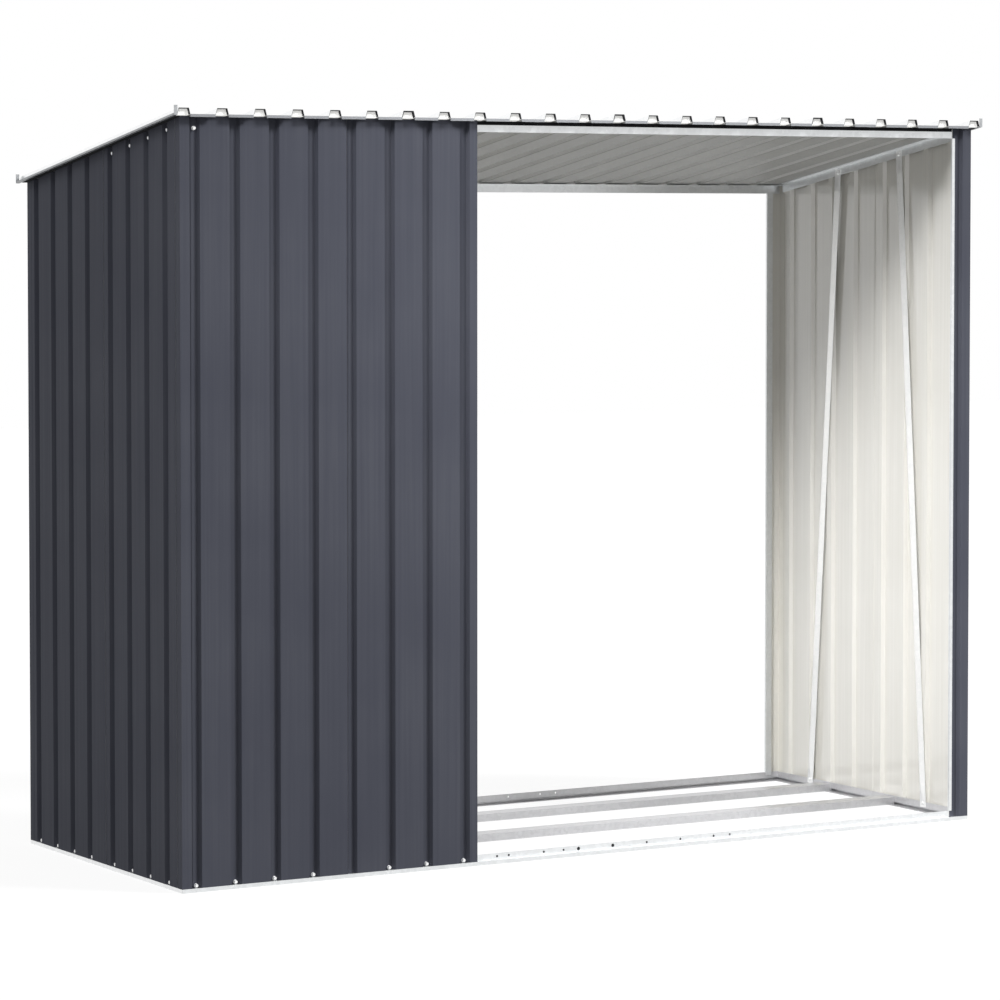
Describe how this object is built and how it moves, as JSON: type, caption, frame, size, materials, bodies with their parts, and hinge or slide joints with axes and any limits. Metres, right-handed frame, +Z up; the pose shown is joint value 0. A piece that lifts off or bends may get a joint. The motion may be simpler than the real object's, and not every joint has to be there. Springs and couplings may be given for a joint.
{
  "type": "log store",
  "caption": "Free-standing log store of ribbed steel sheet with one closed bay, one bay open front and back, a lean-to roof and a floor of steel rails.",
  "frame": {"origin": "on the ground, under the middle of the store's box", "axes": "+X to the right along the front, +Y from the front to the back, +Z up"},
  "size_m": [2.4474, 0.9574, 1.9293],
  "materials": {
    "wall_sheet": "satin",
    "roof_sheet": "satin",
    "galvanised_rail": "satin",
    "rib_filler": "matte"
  },
  "bodies": {
    "root": {"base_rail_front": "galvanised_rail", "base_rail_back": "galvanised_rail", "base_rail_left": "galvanised_rail", "base_rail_right": "galvanised_rail", "floor_rail_1": "galvanised_rail", "floor_rail_2": "galvanised_rail", "top_rail_front": "galvanised_rail", "top_rail_back": "galvanised_rail", "top_rail_left": "galvanised_rail", "top_rail_right": "galvanised_rail", "jamb_post_front": "galvanised_rail", "jamb_post_back": "galvanised_rail", "edge_post_front": "galvanised_rail", "edge_post_back": "galvanised_rail", "brace_left_front": "galvanised_rail", "brace_left_back": "galvanised_rail", "brace_right_front": "galvanised_rail", "brace_right_back": "galvanised_rail", "roof_edging_left": "galvanised_rail", "roof_edging_right": "galvanised_rail", "corner_post_front_left": "wall_sheet", "corner_post_front_right": "wall_sheet", "corner_post_back_left": "wall_sheet", "corner_post_back_right": "wall_sheet", "side_sheet_left_front": "wall_sheet", "side_sheet_left_back": "wall_sheet", "side_sheet_right_front": "wall_sheet", "side_sheet_right_back": "wall_sheet", "closed_front_sheet_1": "wall_sheet", "closed_front_sheet_2": "wall_sheet", "closed_back_sheet_1": "wall_sheet", "closed_back_sheet_2": "wall_sheet", "roof_sheet_1": "roof_sheet", "roof_sheet_2": "roof_sheet", "roof_sheet_3": "roof_sheet", "roof_sheet_4": "roof_sheet", "rib_fillers_front": "rib_filler", "rib_fillers_back": "rib_filler"}
  },
  "joints": []
}
